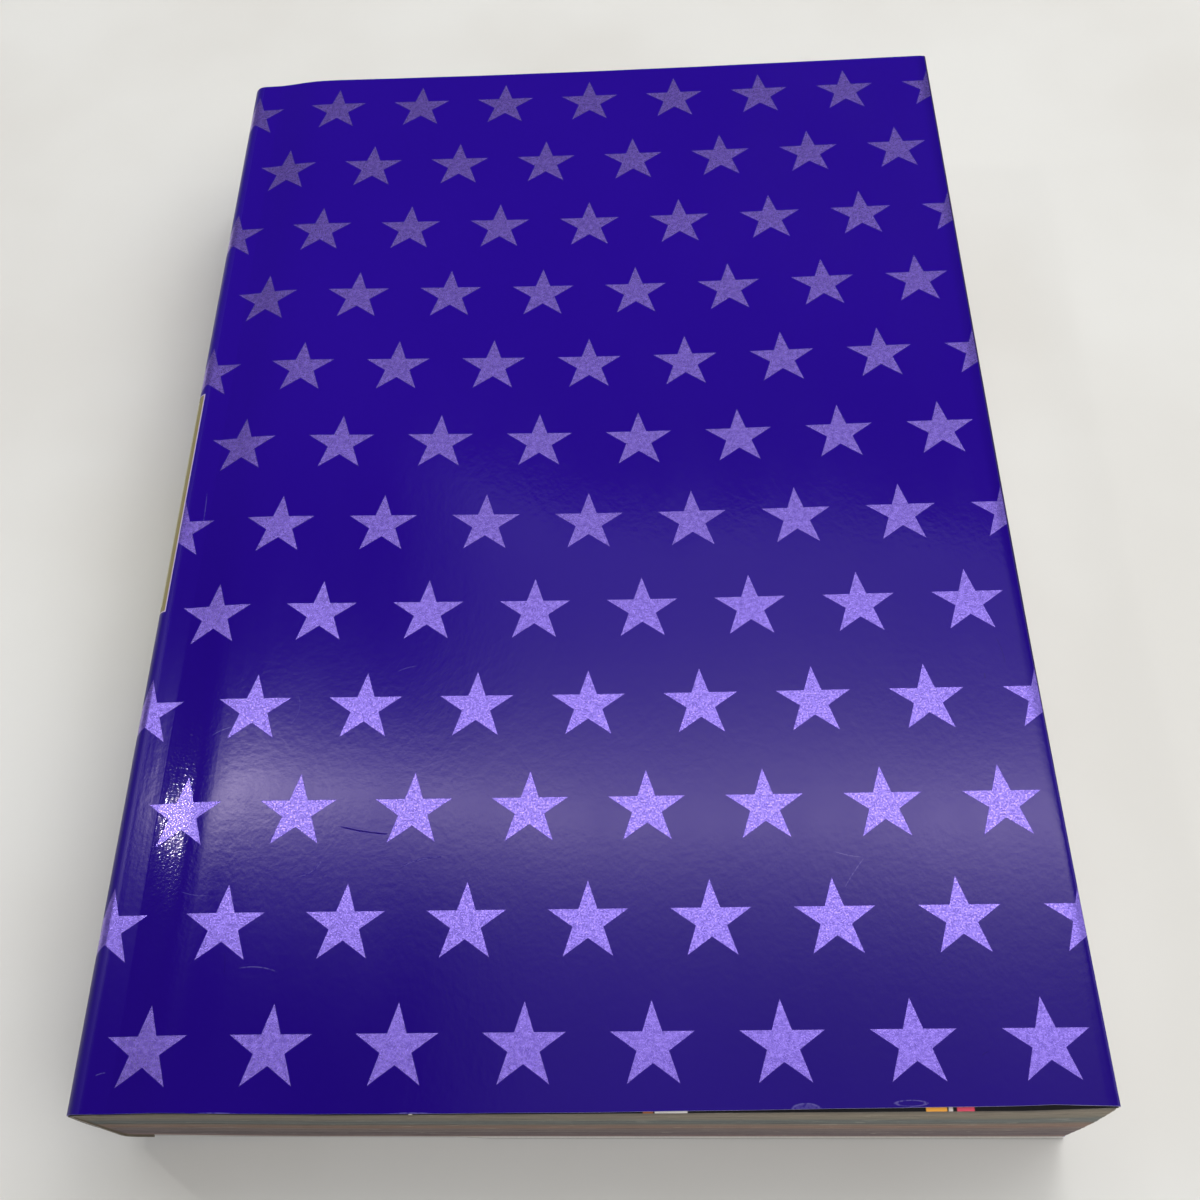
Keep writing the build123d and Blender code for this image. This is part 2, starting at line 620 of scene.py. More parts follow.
def add_label(n, place, middle, colour):
    """The title panel's bands over a colour, and the mask of the panel."""
    parts = n.split(place)
    across = n.math("ABSOLUTE", n.math("SUBTRACT", parts[0], middle))
    along = n.math("ABSOLUTE", n.math("SUBTRACT", parts[1], (label_far_y + label_near_y) / 2))
    inset_x = n.math("SUBTRACT", label_half_width, across)
    inset_y = n.math("SUBTRACT", (label_far_y - label_near_y) / 2, along)
    inset = n.math("MINIMUM", inset_x, inset_y)
    panel = None
    for depth, band in label_bands:
        mask = n.fade(inset, depth - label_soft, depth + label_soft)
        colour = n.mix(mask, colour, band)
        panel = panel or mask
    return colour, panel


# Nicks in the jacket's near edge, in millimetres: place across, way in, half length, half depth,
# and how light they are, partly chipped paper and partly painted highlight
edge_nicks = [
    (-71.0, 0.0, 4.3, 0.3, 0.5), (-33.0, 0.0, 4.6, 0.35, 0.4),
    (42.6, 0.45, 2.7, 1.0, 0.3), (62.3, 1.3, 3.1, 0.55, 0.0),
]
# Lightness of a nick's rim, which is painted highlight
nick_rim_highlight = 0.5

# Inks and marks, with the colours of painted shade and highlights
# Painted shade: the near ink is the far ink darkened by shade
near_ink_painted_shade = srgb(27, 5, 112)
far_ink = srgb(36, 8, 137)
drifted_ink = srgb(52, 18, 160)
# Darker tone for a strip by the fore edge
fore_dark_tone = srgb(20, 3, 104)
# Painted shade along the sheet's turn round the card's fore edge
fold_painted_shade = srgb(16, 6, 58)
pearl_shade = srgb(103, 79, 187)
pearl_light = srgb(145, 119, 229)
# Colours of scuffs with painted highlight, and of painted shade in creases
scuff_and_glint_colour = srgb(150, 140, 205)
crease_shade_colour = srgb(12, 2, 60)

# How strongly each ink, mark, painted shade or painted highlight lies over the colour below it
drift_strength = 0.08
scuff_and_glint_strength = 0.5
crease_shade_strength = 0.6
fore_dark_strength = 0.4
fold_shade_strength = 0.85

# Grain of the film and the inks, in cycles per metre
drift_cycles = 14.0
wave_cycles = 40.0
smudge_cycles = 60.0
ripple_cycles = 260.0
dimple_cycles = 420.0
cluster_cycles = 900.0
wrinkle_cycles = 1000.0
broken_cycles = 1400.0
crumple_cycles = 1500.0
flake_cycles = 2600.0

# How much closer together that grain lies across the sheet and along it
wave_stretch = (1.0, 0.5)
fine_stretch = (1.2, 0.85)
ripple_stretch = (1.0, 0.04)
smudge_stretch = (1.0, 0.35)

# Depths of the jacket's relief, and how much flatter the fine part of it is in the stars
wave_depth = 0.06 * mm
dimple_depth = 0.013 * mm
wrinkle_depth = 0.009 * mm
ripple_depth = 0.05 * mm
crumple_depth = 0.014 * mm
flake_depth = 0.012 * mm
scratch_depth = 0.05 * mm
star_flatness = 0.75
raised_scratches = 3
sunk_creases = 1

# Where each pattern starts and ends in its grain
drift_fade = (0.3, 0.7)
pearl_fade = (0.38, 0.62)
broken_fade = (0.35, 0.55, 0.25, 1.0)
smudge_fade = (0.35, 0.75)
flake_fade = (0.5, 0.62)
flake_share = 0.6
cluster_share = 0.4

# Places on the flat sheet between which something fades
ink_shade_fade = (near_y, 0.6 * far_y)
ripple_fade = (-85.0 * mm, -65.0 * mm, 1.0, 0.0)
crumple_start = (-93.0 * mm, -91.5 * mm)
crumple_end = (-85.0 * mm, -80.0 * mm, 1.0, 0.0)
corner_fade = (-99.6 * mm, -98.0 * mm)
fore_fade = (fore_x - 4.0 * mm, fore_x - 1.0 * mm)
turned_fade = (fold_x - 0.25 * mm, fold_x + 0.1 * mm)

# Film over the print, and the pearl ink with its clear coat
film_tint = (0.97, 0.82, 1.0, 1.0)
film_gloss = 0.25
film_rough = 0.06
smudge_rough = 0.05
corner_rough = 0.3
turned_rough = 0.45
pearl_rough = (0.4, 0.2)
pearl_metal = 0.75
pearl_coat_ior = 1.42
pearl_coat_rough = 0.27


def printed_colour(n, place, star, grain):
    """Purple ink, darkened by painted shade towards the near edge, with pearl ink in the stars."""
    drift = n.fade(n.noise(place, drift_cycles), *drift_fade)
    # Painted shade: the ink darkens towards the near edge
    ink = n.mix(n.fade(n.split(place)[1], *ink_shade_fade), near_ink_painted_shade, far_ink)
    ink = n.mix(n.math("MULTIPLY", drift, drift_strength), ink, drifted_ink)
    pearl = n.mix(n.fade(grain, *pearl_fade), pearl_shade, pearl_light)
    return n.mix(star, ink, pearl)


def add_marks(n, place, colour):
    """Scratches and nicks, partly painted highlight, and creases in painted shade, over a colour."""
    light = scratches(n, place, scuffs_and_glints)
    crease_shade = scratches(n, place, creases_with_painted_shade)
    for nick_x, inset, half, depth, chip_and_glint in edge_nicks:
        dent = use_group(
            n, nick, Place=place, Centre=(nick_x * mm, near_y + inset * mm, 0),
            Reach=(half * mm, depth * mm, 1),
        )
        light = n.math("MAXIMUM", light, n.math("MULTIPLY", dent["Inside"], chip_and_glint))
        light = n.math("MAXIMUM", light, n.math("MULTIPLY", dent["Rim"], nick_rim_highlight))
    light = n.math("MULTIPLY", light, n.fade(n.noise(place, broken_cycles), *broken_fade))
    colour = n.mix(n.math("MULTIPLY", light, scuff_and_glint_strength), colour, scuff_and_glint_colour)
    return n.mix(n.math("MULTIPLY", crease_shade, crease_shade_strength), colour, crease_shade_colour)


def jacket_relief(n, place, star, flakes):
    """Height in metres of the film's waves, wrinkles, ripples, crumples and dents."""
    across = n.split(place)[0]
    wave = n.noise(n.stretched(place, *wave_stretch), wave_cycles)
    relief = n.math("MULTIPLY", wave, wave_depth)

    # Fine dimples and wrinkles, which lie flatter where there is pearl ink
    close = n.stretched(place, *fine_stretch)
    wrinkle = n.math("MULTIPLY", n.noise(close, wrinkle_cycles), wrinkle_depth)
    fine = n.math("MULTIPLY_ADD", n.noise(close, dimple_cycles), dimple_depth, wrinkle)
    calm = n.math("MULTIPLY_ADD", star, -star_flatness, 1.0)
    relief = n.math("MULTIPLY_ADD", fine, calm, relief)

    # Long ripples by the spine, and fine crumples along the crease
    ripple = n.noise(n.stretched(place, *ripple_stretch), ripple_cycles)
    ripple = n.math("MULTIPLY", ripple, n.fade(across, *ripple_fade))
    relief = n.math("MULTIPLY_ADD", ripple, ripple_depth, relief)
    creased = n.math("MULTIPLY", n.fade(across, *crumple_start), n.fade(across, *crumple_end))
    crumple = n.math("MULTIPLY", n.noise(place, crumple_cycles, 1.0), creased)
    relief = n.math("MULTIPLY_ADD", crumple, crumple_depth, relief)
    relief = n.math("MULTIPLY_ADD", n.math("MULTIPLY", flakes, star), flake_depth, relief)

    # The first marks of each list are deep enough to catch the light
    raised = scratches(n, place, scuffs_and_glints[:raised_scratches])
    sunk = scratches(n, place, creases_with_painted_shade[:sunk_creases])
    return n.math("MULTIPLY_ADD", n.math("SUBTRACT", raised, sunk), scratch_depth, relief)


def film_roughness(n, place, star, flakes, turned):
    """Roughness of the film, with smudges, and of the pearl ink, whose flat flakes shine."""
    smudge = n.noise(n.stretched(place, *smudge_stretch), smudge_cycles, 4.0, 0.6)
    film = n.math("MULTIPLY_ADD", n.fade(smudge, *smudge_fade), smudge_rough, film_rough)
    film = n.math("MULTIPLY_ADD", turned, turned_rough, film)
    film = n.math("ADD", film, n.fade(n.split(place)[0], *corner_fade, corner_rough, 0.0))
    pearl = n.fade(flakes, *flake_fade, *pearl_rough)
    return n.math("MULTIPLY_ADD", star, n.math("SUBTRACT", pearl, film), film)


def jacket_print(middle):
    """Laminated print: purple, pearl stars, title panel, relief, handling marks, painted shade and
    highlights.
    """
    material, n, shader = new_material("jacket_print")
    place = n.add("ShaderNodeUVMap", uv_map="sheet").outputs[0]
    across = n.split(place)[0]
    star = use_group(n, star_field, Place=place)["Star"]
    flakes = n.noise(place, flake_cycles, 2.0, 0.7)
    clusters = n.noise(place, cluster_cycles, 2.0, 0.6)
    grain = n.math("MULTIPLY_ADD", flakes, flake_share, n.math("MULTIPLY", clusters, cluster_share))
    colour = printed_colour(n, place, star, grain)
    colour, panel = add_label(n, place, middle, colour)
    star = n.math("MULTIPLY", star, n.math("SUBTRACT", 1.0, panel))
    colour = add_marks(n, place, colour)

    # The colour is darker by the fore edge, and painted shade darkens it where it turns round the card
    colour = n.mix(n.fade(across, *fore_fade, 0.0, fore_dark_strength), colour, fore_dark_tone)
    turned = n.fade(across, *turned_fade)
    colour = n.mix(n.math("MULTIPLY", turned, fold_shade_strength), colour, fold_painted_shade)

    n.put(shader.inputs["Base Color"], colour)
    n.put(shader.inputs["Roughness"], film_roughness(n, place, star, flakes, turned))
    n.put(shader.inputs["Metallic"], n.math("MULTIPLY", star, pearl_metal))
    n.put(shader.inputs["Specular IOR Level"], film_gloss)
    n.put(shader.inputs["Specular Tint"], film_tint)
    n.put(shader.inputs["Coat Weight"], n.math("MULTIPLY", star, n.math("SUBTRACT", 1.0, turned)))
    n.put(shader.inputs["Coat IOR"], pearl_coat_ior)
    n.put(shader.inputs["Coat Roughness"], pearl_coat_rough)
    n.put(shader.inputs["Normal"], n.bump(jacket_relief(n, place, star, flakes), 1.0))
    return material


# Uncoated papers: tone, the shade that it varies towards, fibres per metre and roughness
papers = {
    "jacket_inside": (srgb(214, 212, 206), srgb(226, 224, 219), 3000.0, 0.8),
    "jacket_cut_edge": (srgb(120, 108, 180), srgb(196, 190, 222), 3000.0, 0.8),
    "card_inside": (srgb(206, 203, 196), srgb(219, 216, 209), 2200.0, 0.75),
    "page_face": (srgb(222, 218, 208), srgb(232, 229, 221), 2600.0, 0.6),
}
paper_relief = 0.02 * mm


def plain_paper(name):
    """Uncoated paper in a tone that varies a little."""
    tone, shade, fibre, roughness = papers[name]
    material, n, shader = new_material(name)
    place = n.add("ShaderNodeTexCoord").outputs["Object"]
    grain = use_group(n, paper_grain, Place=place, Fibre=fibre)
    n.put(shader.inputs["Base Color"], n.mix(grain["Tint"], tone, shade))
    n.put(shader.inputs["Roughness"], roughness)
    n.put(shader.inputs["Normal"], n.bump(grain["Height"], paper_relief))
    return material


# Print that shows where the card stands past the jacket's near edge, in millimetres: from, to, colour
card_prints = [
    (12.0, 14.0, srgb(150, 92, 60)),
    (14.3, 20.6, srgb(205, 200, 196)),
    (-33.4, -32.7, srgb(205, 200, 190)),
    (66.3, 70.3, srgb(214, 150, 62)),
    (70.6, 71.4, srgb(190, 180, 176)),
    (72.2, 75.5, srgb(196, 70, 92)),
]
card_print_reach = 1.5 * mm
card_print_soft = 0.15 * mm


def add_card_prints(n, place, colour):
    """The ends of the card's coloured print along its upper near edge, over a colour."""
    parts = n.split(place)
    at_edge = n.math("LESS_THAN", parts[1], near_y + card_print_reach)
    on_top = n.math("GREATER_THAN", parts[2], book_top / 2)
    shown = n.math("MULTIPLY", at_edge, on_top)
    soft = card_print_soft
    for start, end, print_colour in card_prints:
        after = n.fade(parts[0], start * mm - soft, start * mm + soft)
        before = n.fade(parts[0], end * mm - soft, end * mm + soft, 1.0, 0.0)
        inside = n.math("MULTIPLY", n.math("MULTIPLY", after, before), shown)
        colour = n.mix(inside, colour, print_colour)
    return colour


# Black-printed card: tone and shade of its face and of its cut edge
card_blacks = {
    "card_black": (srgb(5, 4, 7), srgb(14, 12, 17)),
    "card_cut_edge": (srgb(8, 7, 9), srgb(30, 27, 29)),
}
card_fibre = 2500.0
card_rough = 0.6
card_gloss = 0.15
card_relief = 0.015 * mm


def black_card(name):
    """Black-printed satin card, with the ends of its coloured print at the near edge."""
    tone, shade = card_blacks[name]
    material, n, shader = new_material(name)
    place = n.add("ShaderNodeTexCoord").outputs["Object"]
    grain = use_group(n, paper_grain, Place=place, Fibre=card_fibre)
    colour = add_card_prints(n, place, n.mix(grain["Tint"], tone, shade))
    n.put(shader.inputs["Base Color"], colour)
    n.put(shader.inputs["Roughness"], card_rough)
    n.put(shader.inputs["Specular IOR Level"], card_gloss)
    n.put(shader.inputs["Normal"], n.bump(grain["Height"], card_relief))
    return material


# Bands that full-page print leaves on the cut edges, from the bottom of the block to its top
leaf_bands = [
    (0.0, srgb(120, 98, 96)), (0.04, srgb(146, 118, 114)), (0.08, srgb(104, 92, 94)),
    (0.2, srgb(108, 96, 98)), (0.36, srgb(118, 104, 100)), (0.44, srgb(140, 112, 98)),
    (0.54, srgb(128, 110, 96)), (0.6, srgb(106, 110, 106)), (0.7, srgb(100, 106, 104)),
    (0.78, srgb(124, 118, 104)), (0.92, srgb(136, 126, 110)), (1.0, srgb(112, 104, 92)),
]

# Streaks over those bands: how close they lie along the edge and up it, their roughness, where in
# their grain they fade and between which strengths, and their colour
leaf_streaks = [
    ((40.0, 230.0), 0.7, (0.35, 0.7, 0.35, 0.0), srgb(60, 56, 58)),
    ((6.0, 60.0), 0.6, (0.45, 0.75, 0.0, 0.3), srgb(176, 166, 150)),
    ((130.0, 34.0), 0.7, (0.5, 0.75, 0.0, 0.4), srgb(60, 52, 56)),
    ((130.0, 34.0), 0.7, (0.42, 0.28, 0.0, 0.35), srgb(188, 180, 166)),
]
leaf_sway = 0.12
leaf_sway_cycles = 9.0
leaf_painted_light = (1.0, 1.4)
leaf_rough = 0.85
leaf_speck = (900.0, 200.0)
leaf_relief = 0.03 * mm


def leaf_edges():
    """Cut edges of the leaves, banded by the print that runs out to them, with painted light towards
    the fore edge.
    """
    material, n, shader = new_material("leaf_edges")
    place = n.add("ShaderNodeUVMap", uv_map="leaf").outputs[0]
    walked, level = n.split(place)[:2]
    sway = n.noise(n.stretched(place, leaf_sway_cycles, 0.0), 1.0, 3.0)
    level = n.math("MULTIPLY_ADD", n.math("SUBTRACT", sway, 0.5), leaf_sway, level)
    colour = n.ramp(level, leaf_bands)
    for stretch, roughness, fade, streak in leaf_streaks:
        grain = n.noise(n.stretched(place, *stretch), 1.0, 3.0, roughness)
        colour = n.mix(n.fade(grain, *fade), colour, streak)
    # Painted light: the cut edges grow brighter along the near edge towards the fore edge and stay so
    # beyond it
    painted_light = n.fade(walked, 0.0, fore_x - spine_x, *leaf_painted_light)
    n.put(shader.inputs["Base Color"], n.vector("SCALE", colour, painted_light))
    n.put(shader.inputs["Roughness"], leaf_rough)
    speck = n.noise(n.stretched(place, *leaf_speck), 1.0)
    n.put(shader.inputs["Normal"], n.bump(speck, leaf_relief))
    return material


glue_tones = (srgb(86, 78, 64), srgb(106, 96, 80))
glue_cycles = 220.0
glue_rough = 0.4
glue_relief = 0.1 * mm


def glue_material():
    """Dark cream hot-melt glue."""
    material, n, shader = new_material("binding_glue")
    place = n.add("ShaderNodeTexCoord").outputs["Object"]
    cloud = n.noise(place, glue_cycles, 3.0)
    n.put(shader.inputs["Base Color"], n.mix(cloud, *glue_tones))
    n.put(shader.inputs["Roughness"], glue_rough)
    n.put(shader.inputs["Normal"], n.bump(cloud, glue_relief))
    return material


sharp_angle = math.radians(35)


def mesh_object(name, vertices, faces, slots, materials, uv_name, uv_of):
    """Mesh object with a material index for each face and a UV map from a value for each vertex."""
    mesh = bpy.data.meshes.new(name)
    mesh.from_pydata(vertices, [], faces)
    for material in materials:
        mesh.materials.append(material)
    mesh.polygons.foreach_set("material_index", slots)
    layer = mesh.uv_layers.new(name=uv_name)
    for loop in mesh.loops:
        layer.data[loop.index].uv = uv_of[loop.vertex_index]
    mesh.shade_smooth()
    mesh.set_sharp_from_angle(angle=sharp_angle)
    mesh.update()
    piece = bpy.data.objects.new(name, mesh)
    bpy.context.scene.collection.objects.link(piece)
    return piece


# Material indices of a sheet
outer_face = 0
inner_face = 1
cut_edge = 2


def sheet_mesh(name, edge, outline, thickness, rows, span, materials, print_start):
    """Sheet of an even thickness that follows an outline, with rows of vertices along the book.

    rows are parts of the sheet's length, and span(x, z) gives where it starts and ends at a place.
    print_start is where the middle of the spine lies on the flat sheet.
    """
    vertices = []
    uv_of = []
    marks = stations(outline)
    for distance in marks:
        point, normal = walk(outline, distance)
        for place in (point, point - normal * thickness):
            z = edge.height(-place.y)
            low, high = span(place.x, z)
            for part in rows:
                y = low + (high - low) * part
                vertices.append(settle(place.x, y, z))
                printed = print_start + edge.upwards * distance
                uv_of.append((printed - print_stretch * flare(printed, y), y))
    faces = []
    slots = []

    def add(slot, *corners):
        """One face, from the station, side and row of each of its corners."""
        face = [(2 * i + side) * len(rows) + j for i, side, j in corners]
        faces.append(face if edge.upwards > 0 else face[::-1])
        slots.append(slot)

    last = len(marks) - 1
    end = len(rows) - 1
    for i in range(last):
        for j in range(end):
            add(outer_face, (i, 0, j), (i + 1, 0, j), (i + 1, 0, j + 1), (i, 0, j + 1))
            add(inner_face, (i, 1, j), (i, 1, j + 1), (i + 1, 1, j + 1), (i + 1, 1, j))
        add(cut_edge, (i, 0, 0), (i, 1, 0), (i + 1, 1, 0), (i + 1, 0, 0))
        add(cut_edge, (i, 0, end), (i + 1, 0, end), (i + 1, 1, end), (i, 1, end))
    for j in range(end):
        add(cut_edge, (0, 0, j), (0, 0, j + 1), (0, 1, j + 1), (0, 1, j))
        add(cut_edge, (last, 0, j), (last, 1, j), (last, 1, j + 1), (last, 0, j + 1))
    return mesh_object(name, vertices, faces, slots, materials, "sheet", uv_of)


# The jacket is a little shorter than the card, which shows past its near edge
jacket_recess_near = 0.15 * mm
jacket_recess_far = 0.2 * mm
widest_recess = 0.8 * mm
recess_start = 5.0 * mm
recess_full = 90.0 * mm
cut_wander = 0.08 * mm
cut_waves = 60
cut_seed = 3.0
front_card_past = 0.3 * mm
front_card_past_fade = (-26.0 * mm, -24.0 * mm)


def jacket_span(x, z):
    """The jacket's near and far cut edges, which wander a little."""
    wander = noise.noise(Vector((x * cut_waves, z * cut_waves, cut_seed))) * cut_wander
    widening = ramp_up(x, recess_start, recess_full) - ramp_up(x, recess_full, fore_x)
    recess = jacket_recess_near + (widest_recess - jacket_recess_near) * widening + wander
    return near_y + recess, far_y - jacket_recess_far + wander


def card_span(x, z):
    """The card's near and far edges; underneath it stands a little past the leaves."""
    past = front_card_past * ramp_up(x, *front_card_past_fade)
    return near_y - (past if z < book_top / 2 else 0.0), far_y


# Rows of vertices along the sheets, in parts of their length, closer together at the cut edges
jacket_edge_rows = [0.0, 0.002, 0.005, 0.01, 0.0155, 0.021]
card_edge_rows = [0.0, 0.005, 0.01, 0.0155, 0.021]
open_rows_start = 0.03
row_step = 0.0115
jacket_rows = jacket_edge_rows + spaced(open_rows_start, 1 - open_rows_start, row_step)
jacket_rows += [1 - row for row in jacket_edge_rows[::-1]]
card_rows = card_edge_rows + spaced(open_rows_start, 1.0, row_step) + [1.0]


def bend_at_hinge(piece, edge):
    """Works out the hinge's height on this cover, which nothing uses, and bakes the sheet's transform
    into its mesh.
    """
    outline = cover_outline(edge, 0, fold_x)
    z = edge.height(-walk(outline, distance_to_x(outline, hinge_x))[0].y)
    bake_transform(piece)


def add_covers():
    """The jacket and the card cover, each as a back half and a front half that meet on the spine."""
    bound = cover_outline(back_edge, 0, fold_x)[:3]
    middle = back_edge.bend_x - sum(stretch.length for stretch in bound)
    jacket = [jacket_print(middle), plain_paper("jacket_inside"), plain_paper("jacket_cut_edge")]
    card = [black_card("card_black"), plain_paper("card_inside"), black_card("card_cut_edge")]
    for side, edge in (("back", back_edge), ("front", front_edge)):
        outline = with_flap(cover_outline(edge, 0, fold_x))
        piece = sheet_mesh(
            f"jacket_{side}_sheet", edge, outline, jacket_sheet, jacket_rows, jacket_span,
            jacket, middle,
        )
        bend_at_hinge(piece, edge)
        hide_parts("jacket_" + side, "jacket_spine")

        outline = cover_outline(edge, card_outside, fold_x)
        piece = sheet_mesh(
            f"card_{side}_sheet", edge, outline, card_sheet, card_rows, card_span, card, middle,
        )
        bend_at_hinge(piece, edge)
        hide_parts("cover_" + side, "cover_spine")


# Leaves, whose cut edges end a few hundredths of a millimetre apart
leaf_thickness = 0.16 * mm
leaves_in_section = 8
section_wander = 0.06 * mm
leaf_wander = 0.07 * mm
leaf_seed = 11
fore_swell = 0.6 * mm
fore_swell_reach = 8.0 * mm

# Stations round the block: millimetres in from the spine at its corner, then even steps
block_corner_steps = (0, 0.1, 0.4, 0.9, 1.6, 2.7)
block_steps_start = 5.0 * mm
block_step_across = 8.0 * mm
block_step_along = 11.0 * mm


def block_limits(x):
    """Height of the block's underside and top at x."""
    heights = []
    for edge in (front_edge, back_edge):
        outline = cover_outline(edge, page_face, fold_x)
        heights.append(edge.height(-walk(outline, distance_to_x(outline, x))[0].y))
    return heights


def block_ring(across, along):
    """Places round the block, counter-clockwise, each with the way in from its near or far edge."""
    ring = [(x, near_y, 1) for x in across]
    ring += [(fold_x, y, 0) for y in along]
    ring += [(x, far_y, -1) for x in across[::-1]]
    return ring + [(across[0], y, 0) for y in along[::-1]]


def leaf_strips(ring, limits):
    """Places and UVs of the leaves' cut edges, each set back a little more or less than the next."""
    draw = random.Random(leaf_seed)
    leaves = round((book_top - 2 * page_face) / leaf_thickness)
    vertices = []
    uv_of = []
    for leaf in range(leaves):
        if leaf % leaves_in_section == 0:
            section_step = draw.uniform(0.0, section_wander)
        set_back = section_step + draw.uniform(0.0, leaf_wander)
        for level in (leaf / leaves, (leaf + 1) / leaves):
            walked = 0.0
            before = ring[0][:2]
            for x, y, way_in in ring:
                walked += math.dist((x, y), before)
                before = (x, y)
                low, high = limits[x]
                swell = math.sin(math.pi * level) * ramp_up(x, fold_x - fore_swell_reach, fold_x)
                inward = set_back if x == fold_x else 0
                place_x = x + fore_swell * swell - inward
                vertices.append(settle(place_x, y + set_back * way_in, low + (high - low) * level))
                uv_of.append((walked, level))
    return vertices, uv_of


def add_page_block():
    """The leaves: a strip for each one's cut edge, and the first and the last leaf's face."""
    start_x = spine_x + page_face
    across = [start_x + step * mm for step in block_corner_steps]
    across += [*spaced(start_x + block_steps_start, fold_x, block_step_across), fold_x]
    along = spaced(near_y, far_y, block_step_along)[1:]
    limits = {x: block_limits(x) for x in across}
    limits[start_x] = (lower_corner_z, upper_corner_z)
    ring = block_ring(across, along)
    vertices, uv_of = leaf_strips(ring, limits)

    size = len(ring)
    last_ring = len(vertices) - size
    faces = []
    for row in range(0, last_ring, size):
        for i in range(size):
            a = row + i
            b = row + (i + 1) % size
            faces.append((a, b, b + size, a + size))
    slots = [0] * len(faces)

    rim = {(x, y): i for i, (x, y, way_in) in enumerate(ring)}
    for base, level in ((0, 0), (last_ring, 1)):
        grid = []
        for y in (near_y, *along, far_y):
            line = []
            for x in across:
                if (x, y) in rim:
                    line.append(base + rim[x, y])
                else:
                    line.append(len(vertices))
                    vertices.append(settle(x, y, limits[x][level]))
                    uv_of.append((x, y))
            grid.append(line)
        for lower, upper in zip(grid, grid[1:]):
            for i in range(len(across) - 1):
                face = (lower[i], lower[i + 1], upper[i + 1], upper[i])
                faces.append(face if level else face[::-1])
                slots.append(1)
    materials = [leaf_edges(), plain_paper("page_face")]
    piece = mesh_object("page_leaves", vertices, faces, slots, materials, "leaf", uv_of)
    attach(piece, "book")
    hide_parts("page_block")


def add_glue():
    """The glue keeps the CAD shape and gets its material."""
    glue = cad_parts["spine_glue"]
    glue.data.materials.clear()
    glue.data.materials.append(glue_material())


# Table top
floor_size = 4.0
floor_tone = srgb(222, 221, 217)
floor_shade = srgb(216, 214, 209)
floor_cycles = 9.0
floor_fade = (0.35, 0.65)
floor_rough = 0.5


def add_floor():
    """Pale, faintly mottled table top."""
    bpy.ops.mesh.primitive_plane_add(size=floor_size)
    floor = bpy.context.object
    floor.name = "floor"
    material, n, shader = new_material("table_top")
    place = n.add("ShaderNodeTexCoord").outputs["Object"]
    mottle = n.fade(n.noise(place, floor_cycles, 3.0), *floor_fade)
    n.put(shader.inputs["Base Color"], n.mix(mottle, floor_tone, floor_shade))
    n.put(shader.inputs["Roughness"], floor_rough)
    floor.data.materials.append(material)


# Walls of the room: how they fade with the parts of a direction up, away and across
room_dark = 0.05
wall_up = (0.3, 0.6, 0.85, 0.0)
wall_away = (0.0, 0.6, 1.0, 0.1)
wall_across = (-0.7, 0.1, 0.45, 1.0)
backdrop = (0.76, 0.76, 0.75, 1)

# Places overhead are slopes: how far a direction leads across and away for one unit up. The
# ceiling panel has a skewed far edge, beside which it's brighter, and a brighter part on the right
overhead = (0.4, 0.5)
least_height = 0.05
panel_far_edge = 0.68
panel_skew = -0.28
panel_end = (-0.015, 0.015, 0.62, 0.0)
panel_rim = (-0.1, 0.0, 1.0, 1.4)
panel_left = (-0.19, -0.07)
panel_right = (0.35, 0.42, 1.0, 0.3)
panel_near = (0.05, 0.45, 0.6, 1.0)
right_across = (0.6, 0.9, 0.0, 2.2)
right_away = (0.9, 1.4, 1.0, 0.0)
ceiling_right = (1.5, 2.1, 1.0, 0.0)
ceiling_near = (-1.4, -0.9)

# Soft band of light: its middle, its reach to either side and its brightness at stations across
band_stations = (-0.6, -0.4, -0.2, 0.05, 0.3)
band_middle = (0.385, 0.386, 0.387, 0.37, 0.352)
band_far_half = (0.05, 0.0212, 0.0355, 0.075, 0.05)
band_near_half = (0.05, 0.0218, 0.039, 0.045, 0.049)
band_light = (2.0, 18.5, 7.5, 4.9, 7.0)
band_roundness = 1.2
band_left = (-0.63, -0.38)
band_right = (0.45, 0.6, 1.0, 0.0)


def faded(n, light, *fades):
    """A light that fades by several values, each given with its range."""
    for value, span in fades:
        light = n.math("MULTIPLY", light, n.fade(value, *span))
    return light


def wall_light(n, x, y, z):
    """Pale walls, brightest low down, towards the camera and on the right."""
    wall = faded(n, n.fade(z, *wall_up), (y, wall_away), (x, wall_across))
    return n.math("ADD", wall, room_dark)


def ceiling_light(n, across, away):
    """A panel that leads from beyond the book to behind the camera."""
    edge = n.math("SUBTRACT", away, n.math("MULTIPLY_ADD", across, panel_skew, panel_far_edge))
    panel = faded(n, n.fade(edge, *panel_end), (edge, panel_rim), (across, panel_left))
    panel = faded(n, panel, (across, panel_right), (away, panel_near))
    right = faded(n, n.fade(across, *right_across), (away, right_away))
    both = n.math("ADD", panel, right)
    return faded(n, both, (across, ceiling_right), (away, ceiling_near))


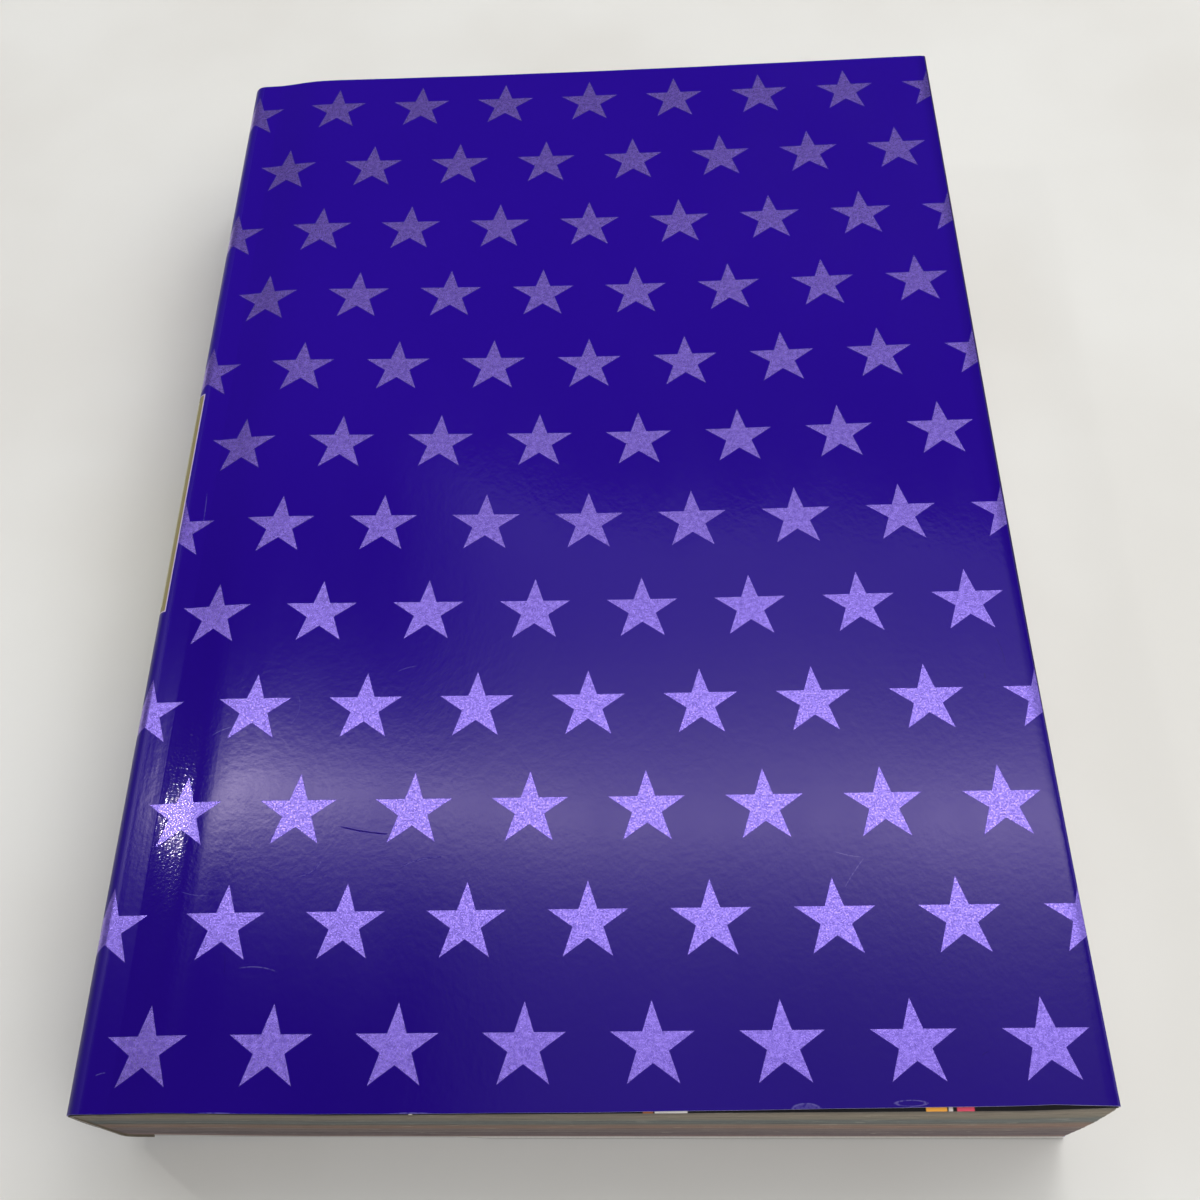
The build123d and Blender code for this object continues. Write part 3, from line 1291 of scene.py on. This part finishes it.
def band_of_light(n, across, away):
    """A soft band that runs across beyond the book."""
    off = n.math("SUBTRACT", away, n.steps(across, band_stations, band_middle))
    far = n.math("DIVIDE", n.math("MAXIMUM", off, 0.0), n.steps(across, band_stations, band_far_half))
    near = n.math("DIVIDE", n.math("MINIMUM", off, 0.0), n.steps(across, band_stations, band_near_half))
    halves = n.math("POWER", n.math("SUBTRACT", far, near), band_roundness)
    band = n.math("MULTIPLY", n.math("POWER", 0.5, halves), n.steps(across, band_stations, band_light))
    return faded(n, band, (across, band_left), (across, band_right))


def add_world():
    """Plain room that the film reflects, and a pale backdrop that only the camera sees."""
    world = bpy.data.worlds.new("world")
    world.use_nodes = True
    bpy.context.scene.world = world
    n = Nodes(world.node_tree)
    background = world.node_tree.nodes["Background"]
    x, y, z = n.split(n.add("ShaderNodeTexCoord").outputs["Generated"])
    height = n.math("MAXIMUM", z, least_height)
    across = n.math("DIVIDE", x, height)
    away = n.math("DIVIDE", y, height)
    above = n.math("ADD", ceiling_light(n, across, away), band_of_light(n, across, away))
    light = n.math("ADD", wall_light(n, x, y, z), faded(n, above, (z, overhead)))
    seen = n.add("ShaderNodeLightPath").outputs["Is Camera Ray"]
    n.put(background.inputs["Color"], n.mix(seen, n.join(light, light, light), backdrop))


# Lamps: place, what it's aimed at, width, depth, radiance and whether the film mirrors it
book_centre = (0, 0, book_top)
crease_place = (-0.087, -0.085, book_top)
lamps = {
    "near_lamp": ((0.3, -0.6, 1.1), book_centre, 0.7, 0.5, 3.2, True),
    "far_lamp": ((0.45, 1.1, 1.0), book_centre, 0.7, 0.5, 9.0, False),
    "small_lamp": ((-0.582, 0.182, 0.668), crease_place, 0.02, 0.02, 420.0, True),
}


def softbox(name, place, aim, width, depth, radiance, mirrored):
    """Rectangular lamp that shines from place towards aim with an even brightness."""
    data = bpy.data.lights.new(name, "AREA")
    data.shape = "RECTANGLE"
    data.size = width
    data.size_y = depth
    data.energy = radiance * math.pi * width * depth
    lamp = bpy.data.objects.new(name, data)
    lamp.location = place
    lamp.rotation_mode = "QUATERNION"
    lamp.rotation_quaternion = (Vector(aim) - Vector(place)).to_track_quat("-Z", "Y")
    lamp.visible_glossy = mirrored
    bpy.context.scene.collection.objects.link(lamp)


def add_light():
    """Large lamps behind the camera and beyond the book, and a small one that sparkles on the bend."""
    for name, values in lamps.items():
        softbox(name, *values)


add_camera()
add_covers()
add_page_block()
add_glue()
add_floor()
add_world()
add_light()
bpy.context.scene.view_settings.view_transform = "Standard"
